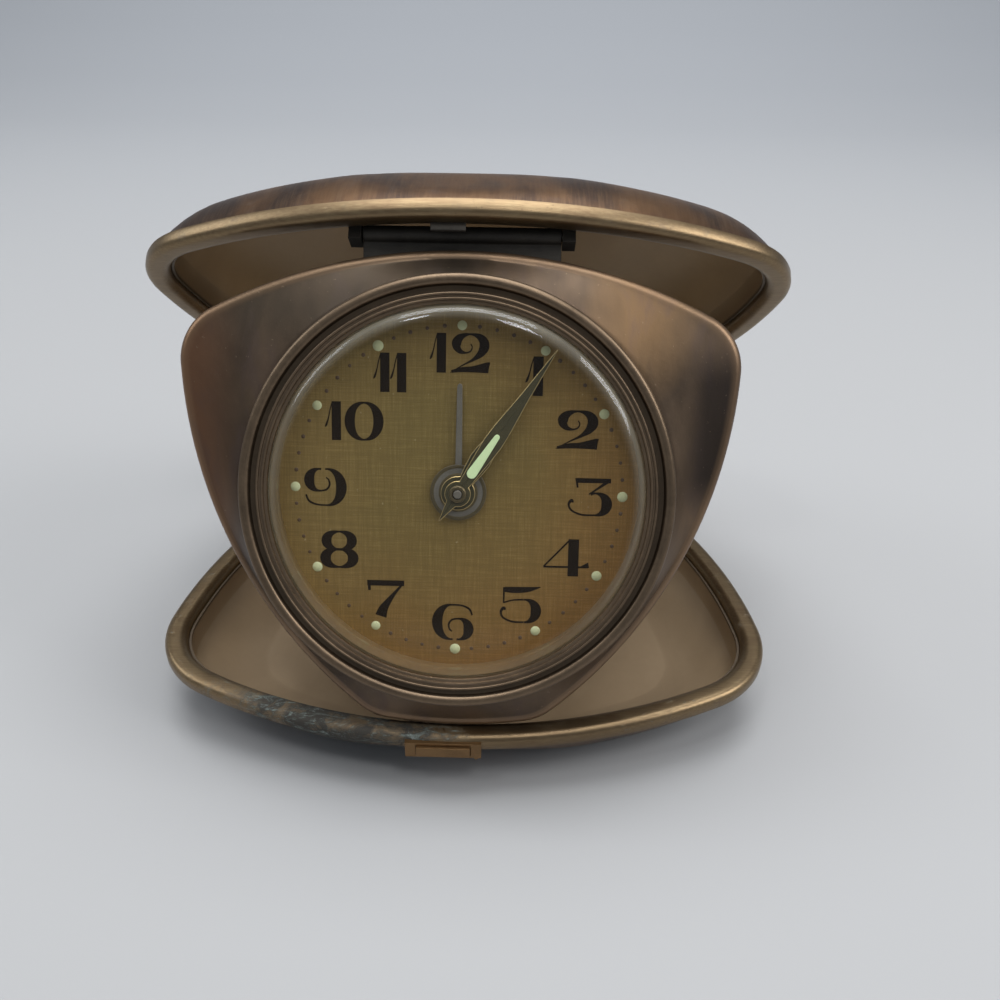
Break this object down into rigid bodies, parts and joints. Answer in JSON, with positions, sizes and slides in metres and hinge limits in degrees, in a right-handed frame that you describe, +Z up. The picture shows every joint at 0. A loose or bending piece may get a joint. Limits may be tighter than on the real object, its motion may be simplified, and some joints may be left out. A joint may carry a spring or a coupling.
{
  "type": "folding travel alarm clock",
  "caption": "Folding wind-up travel alarm clock: two hinged brass shells, the clock head hinged under the lid's front edge and standing on the base.",
  "frame": {"origin": "centre of the flat under the base shell, on the table", "axes": "+X to the right of a person facing the dial, -Y towards that person, +Z up"},
  "size_m": [0.0834, 0.0814, 0.0689],
  "materials": {
    "shell_brass": "aged, brushed, with brown patina",
    "lining": "beige cloth",
    "catch_brass": "worn bright",
    "steel": "satin",
    "dark_steel": "blackened",
    "head_copper": "brushed copper-brown patina",
    "bezel_brass": "turned and polished, aged",
    "crystal": "clear domed acrylic",
    "dial_gold": "linen-brushed gold",
    "lume": "pale green",
    "hand_dark": "dark olive",
    "hand_grey": "grey",
    "movement_brass": "plain",
    "knob_brass": "fluted, satin"
  },
  "bodies": {
    "base": {"base_shell": "shell_brass", "base_lining": "lining", "catch_block": "catch_brass", "catch_pin": "catch_brass", "catch_spring": "steel", "base_hinge_knuckles": "shell_brass", "case_hinge_pin": "steel"},
    "catch": {"catch_button": "catch_brass"},
    "lid": {"lid_shell": "shell_brass", "lid_lining": "lining", "lid_hinge_knuckle": "shell_brass", "lid_catch_lug": "dark_steel", "head_hinge_bracket": "dark_steel", "head_hinge_pin": "steel"},
    "head": {"head_case": "head_copper", "head_hinge_leaf": "dark_steel", "bezel_ring": "bezel_brass", "crystal": "crystal", "reflector_ring": "bezel_brass", "dial": "dial_gold", "lume_dots": "lume", "front_plate": "movement_brass", "back_plate": "movement_brass", "plate_pillars": "movement_brass", "pillar_screws": "steel", "dial_spacer": "movement_brass", "movement_posts": "movement_brass", "time_barrel": "movement_brass", "alarm_barrel": "movement_brass", "clicks": "steel", "balance_cock": "movement_brass", "hammer_stud": "steel", "back_cover": "shell_brass", "cover_screws": "steel"},
    "minute_work": {"minute_hand": "hand_dark", "minute_hand_lume": "lume", "centre_arbor": "steel", "cannon_pinion": "steel", "centre_wheel": "movement_brass", "time_set_knob": "knob_brass"},
    "hour_work": {"hour_hand": "hand_dark", "hour_hand_lume": "lume", "hour_wheel": "movement_brass"},
    "intermediate_wheel": {"minute_wheel": "movement_brass"},
    "alarm_work": {"alarm_hand": "hand_grey", "alarm_wheel": "movement_brass"},
    "alarm_setting": {"alarm_set_arbor": "steel", "alarm_set_knob": "knob_brass"},
    "time_winding": {"time_winding_arbor": "steel", "time_ratchet": "steel", "time_key": "knob_brass"},
    "alarm_winding": {"alarm_winding_arbor": "steel", "alarm_ratchet": "steel", "alarm_key": "knob_brass"},
    "balance": {"balance_wheel": "movement_brass", "hairspring": "steel"},
    "hammer": {"alarm_hammer": "steel"},
    "stop": {"alarm_stop": "knob_brass"},
    "regulator": {"regulator_lever": "steel"}
  },
  "joints": [
    {"name": "lid_opening", "type": "hinge", "parent": "base", "child": "lid", "pos_m": [0, 0.042, 0.0105], "axis": [-1, 0, 0], "range_deg": [0, 44]},
    {"name": "head_fold", "type": "hinge", "parent": "lid", "child": "head", "pos_m": [0, -0.00838, 0.06347], "axis": [1, 0, 0], "range_deg": [0, 68.4]},
    {"name": "catch_press", "type": "slide", "parent": "base", "child": "catch", "axis": [0, 1, 0], "range_m": [0, 0.0008], "stiffness_N_per_m": 300},
    {"name": "minute_turn", "type": "hinge", "parent": "head", "child": "minute_work", "pos_m": [0, -0.02368, 0.03759], "axis": [0, 0.9107, -0.4131], "continuous": true},
    {"name": "hour_turn", "type": "hinge", "parent": "head", "child": "hour_work", "pos_m": [0, -0.02368, 0.03759], "axis": [0, 0.9107, -0.4131], "continuous": true},
    {"name": "intermediate_turn", "type": "hinge", "parent": "head", "child": "intermediate_wheel", "pos_m": [-0.0052, -0.02244, 0.04033], "axis": [0, 0.9107, -0.4131], "continuous": true},
    {"name": "alarm_turn", "type": "hinge", "parent": "head", "child": "alarm_work", "pos_m": [0, -0.02368, 0.03759], "axis": [0, 0.9107, -0.4131], "continuous": true},
    {"name": "alarm_set_turn", "type": "hinge", "parent": "head", "child": "alarm_setting", "pos_m": [0, -0.02703, 0.0302], "axis": [0, 0.9107, -0.4131], "continuous": true},
    {"name": "time_winding_turn", "type": "hinge", "parent": "head", "child": "time_winding", "pos_m": [0.0106, -0.02194, 0.04142], "axis": [0, -0.9107, 0.4131], "continuous": true},
    {"name": "alarm_winding_turn", "type": "hinge", "parent": "head", "child": "alarm_winding", "pos_m": [-0.0106, -0.02194, 0.04142], "axis": [0, -0.9107, 0.4131], "continuous": true},
    {"name": "balance_swing", "type": "hinge", "parent": "head", "child": "balance", "pos_m": [0, -0.01806, 0.04998], "axis": [0, -0.9107, 0.4131], "range_deg": [-180, 180], "stiffness_Nm_per_rad": 0.0000004},
    {"name": "hammer_swing", "type": "hinge", "parent": "head", "child": "hammer", "pos_m": [-0.0075, -0.02905, 0.02575], "axis": [0, -0.9107, 0.4131], "range_deg": [-8, 8]},
    {"name": "alarm_stop_press", "type": "slide", "parent": "head", "child": "stop", "axis": [0, -0.9107, 0.4131], "range_m": [0, 0.0007], "stiffness_N_per_m": 200},
    {"name": "regulator_swing", "type": "hinge", "parent": "head", "child": "regulator", "pos_m": [0, -0.01806, 0.04998], "axis": [0, -0.9107, 0.4131], "range_deg": [-25, 25]}
  ],
  "couplings": [
    {"joint": "hour_turn", "follows": "minute_turn", "ratio": 0.083333},
    {"joint": "intermediate_turn", "follows": "minute_turn", "ratio": -0.33333},
    {"joint": "alarm_set_turn", "follows": "alarm_turn", "ratio": -2.625}
  ]
}
